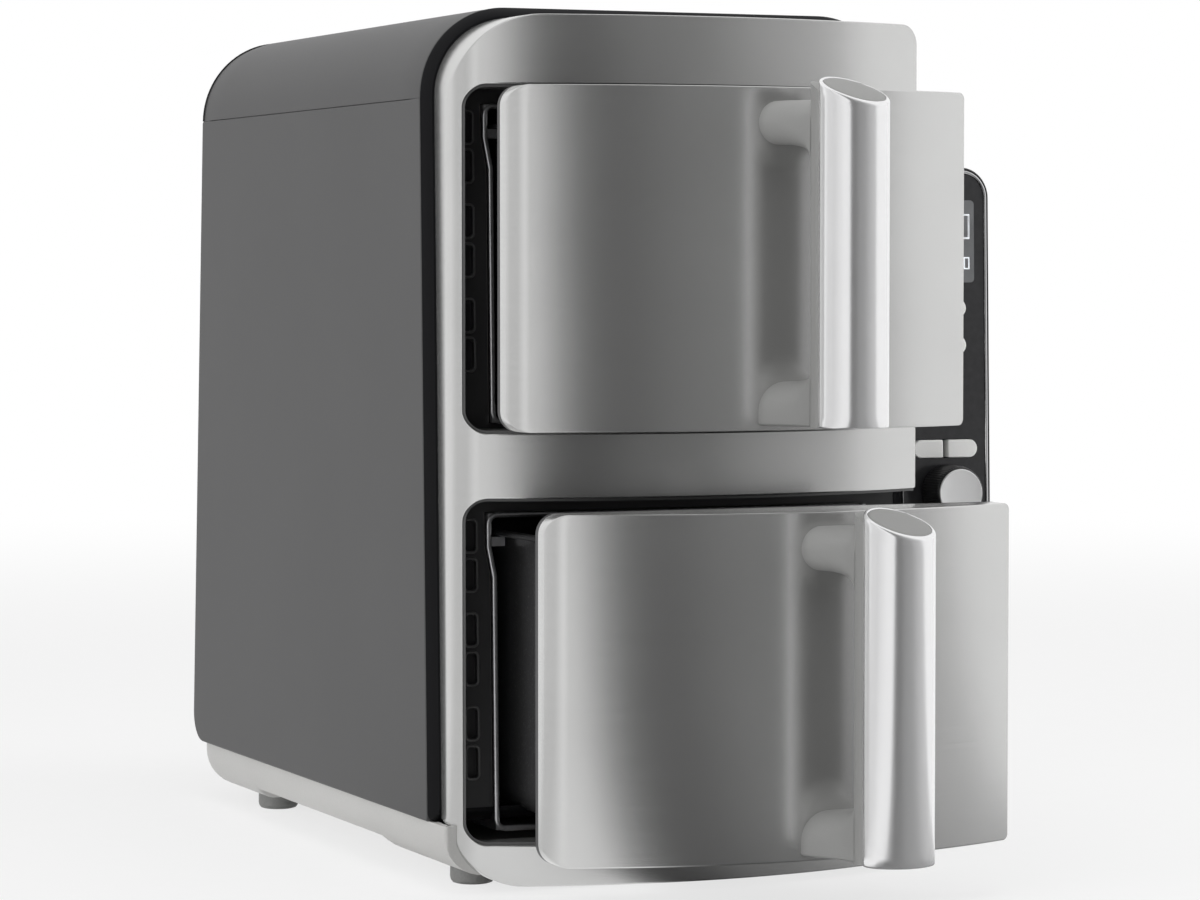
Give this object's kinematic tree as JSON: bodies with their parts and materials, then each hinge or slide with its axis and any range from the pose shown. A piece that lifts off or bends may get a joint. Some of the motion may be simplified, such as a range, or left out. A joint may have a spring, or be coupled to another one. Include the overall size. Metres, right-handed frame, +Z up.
{
  "type": "air fryer",
  "caption": "Tall worktop air fryer with stacked bow-fronted drawers on upright chromed handles, a dark folded case and a slim control pod on its right side.",
  "frame": {"origin": "on the worktop, below the middle of the whole outline with the drawers standing partly open", "axes": "+X to the right of someone facing the front, +Y to the back, +Z up"},
  "size_m": [0.28, 0.5477, 0.385],
  "materials": {
    "silver_front": "satin brushed",
    "dark_panel": "matte, fine grain",
    "black_moulding": "satin moulded",
    "rear_moulding": "fine moulded texture",
    "pale_base": "satin painted",
    "foot_rubber": "matte",
    "steel_fastener": "zinc plated",
    "bright_trim": "polished",
    "gloss_panel": "gloss black",
    "display_glass": "tinted gloss",
    "board": "solder mask",
    "spun_metal": "spun",
    "white_key": "satin",
    "bare_steel": "bare sheet",
    "motor_metal": "laminated",
    "fan_metal": "bare",
    "handle_cap_grey": "matte",
    "handle_grey": "matte",
    "nonstick": "non-stick coated"
  },
  "bodies": {
    "housing": {"front_frame": "silver_front", "front_bulkhead": "black_moulding", "left_side_panel": "dark_panel", "right_side_panel": "dark_panel", "top_cover": "dark_panel", "rear_cover": "rear_moulding", "cord_gland": "rear_moulding", "rear_screws": "steel_fastener", "base_tray": "pale_base", "rubber_feet": "foot_rubber", "control_housing": "black_moulding", "panel_trim": "bright_trim", "control_panel": "gloss_panel", "display_window": "display_glass", "control_board": "board", "dial_encoder": "black_moulding", "upper_opening_trim": "black_moulding", "lower_opening_trim": "black_moulding", "upper_cavity": "bare_steel", "lower_cavity": "bare_steel", "upper_runners": "bare_steel", "lower_runners": "bare_steel", "upper_fan_guard": "bare_steel", "lower_fan_guard": "bare_steel", "upper_fan_motor": "motor_metal", "lower_fan_motor": "motor_metal", "upper_heater": "bare_steel", "lower_heater": "bare_steel"},
    "upper_drawer": {"upper_drawer_front": "silver_front", "upper_drawer_back": "black_moulding", "upper_handle_shell": "bright_trim", "upper_handle_cap": "handle_cap_grey", "upper_handle_backing": "handle_grey", "upper_handle_screws": "steel_fastener", "upper_basket": "nonstick"},
    "upper_plate": {"upper_crisper_plate": "nonstick", "upper_plate_feet": "foot_rubber"},
    "upper_fan": {"upper_fan": "fan_metal"},
    "lower_drawer": {"lower_drawer_front": "silver_front", "lower_drawer_back": "black_moulding", "lower_handle_shell": "bright_trim", "lower_handle_cap": "handle_cap_grey", "lower_handle_backing": "handle_grey", "lower_handle_screws": "steel_fastener", "lower_basket": "nonstick"},
    "lower_plate": {"lower_crisper_plate": "nonstick", "lower_plate_feet": "foot_rubber"},
    "lower_fan": {"lower_fan": "fan_metal"},
    "dial": {"dial_knob": "gloss_panel", "dial_cap": "spun_metal"},
    "first_left_key_body": {"first_left_key": "white_key"},
    "first_right_key_body": {"first_right_key": "white_key"},
    "second_left_key_body": {"second_left_key": "white_key"},
    "second_right_key_body": {"second_right_key": "white_key"},
    "left_pill_key_body": {"left_pill_key": "white_key"},
    "right_pill_key_body": {"right_pill_key": "white_key"},
    "start_key_body": {"start_key": "white_key"},
    "power_key_body": {"power_key": "white_key"}
  },
  "joints": [
    {"name": "upper_drawer_slide", "type": "slide", "parent": "housing", "child": "upper_drawer", "axis": [0, -1, 0], "range_m": [-0.045, 0.16]},
    {"name": "upper_plate_lift", "type": "slide", "parent": "upper_drawer", "child": "upper_plate", "axis": [0, 0, 1], "range_m": [0, 0.105]},
    {"name": "upper_fan_spin", "type": "hinge", "parent": "housing", "child": "upper_fan", "pos_m": [-0.021, 0.21384, 0.273], "axis": [0, 1, 0], "continuous": true},
    {"name": "lower_drawer_slide", "type": "slide", "parent": "housing", "child": "lower_drawer", "axis": [0, -1, 0], "range_m": [-0.087, 0.118]},
    {"name": "lower_plate_lift", "type": "slide", "parent": "lower_drawer", "child": "lower_plate", "axis": [0, 0, 1], "range_m": [0, 0.105]},
    {"name": "lower_fan_spin", "type": "hinge", "parent": "housing", "child": "lower_fan", "pos_m": [-0.021, 0.21384, 0.095], "axis": [0, 1, 0], "continuous": true},
    {"name": "dial_turn", "type": "hinge", "parent": "housing", "child": "dial", "pos_m": [0.11625, -0.08516, 0.16833], "axis": [0, 0.9997, -0.0237], "continuous": true},
    {"name": "first_left_key_press", "type": "slide", "parent": "housing", "child": "first_left_key_body", "axis": [0, 0.9997, -0.0237], "range_m": [0, 0.0008], "stiffness_N_per_m": 400},
    {"name": "first_right_key_press", "type": "slide", "parent": "housing", "child": "first_right_key_body", "axis": [0, 0.9997, -0.0237], "range_m": [0, 0.0008], "stiffness_N_per_m": 400},
    {"name": "second_left_key_press", "type": "slide", "parent": "housing", "child": "second_left_key_body", "axis": [0, 0.9997, -0.0237], "range_m": [0, 0.0008], "stiffness_N_per_m": 400},
    {"name": "second_right_key_press", "type": "slide", "parent": "housing", "child": "second_right_key_body", "axis": [0, 0.9997, -0.0237], "range_m": [0, 0.0008], "stiffness_N_per_m": 400},
    {"name": "left_pill_key_press", "type": "slide", "parent": "housing", "child": "left_pill_key_body", "axis": [0, 0.9997, -0.0237], "range_m": [0, 0.0008], "stiffness_N_per_m": 400},
    {"name": "right_pill_key_press", "type": "slide", "parent": "housing", "child": "right_pill_key_body", "axis": [0, 0.9997, -0.0237], "range_m": [0, 0.0008], "stiffness_N_per_m": 400},
    {"name": "start_key_press", "type": "slide", "parent": "housing", "child": "start_key_body", "axis": [0, 0.9997, -0.0237], "range_m": [0, 0.0008], "stiffness_N_per_m": 400},
    {"name": "power_key_press", "type": "slide", "parent": "housing", "child": "power_key_body", "axis": [0, 0.9997, -0.0237], "range_m": [0, 0.0008], "stiffness_N_per_m": 400}
  ]
}
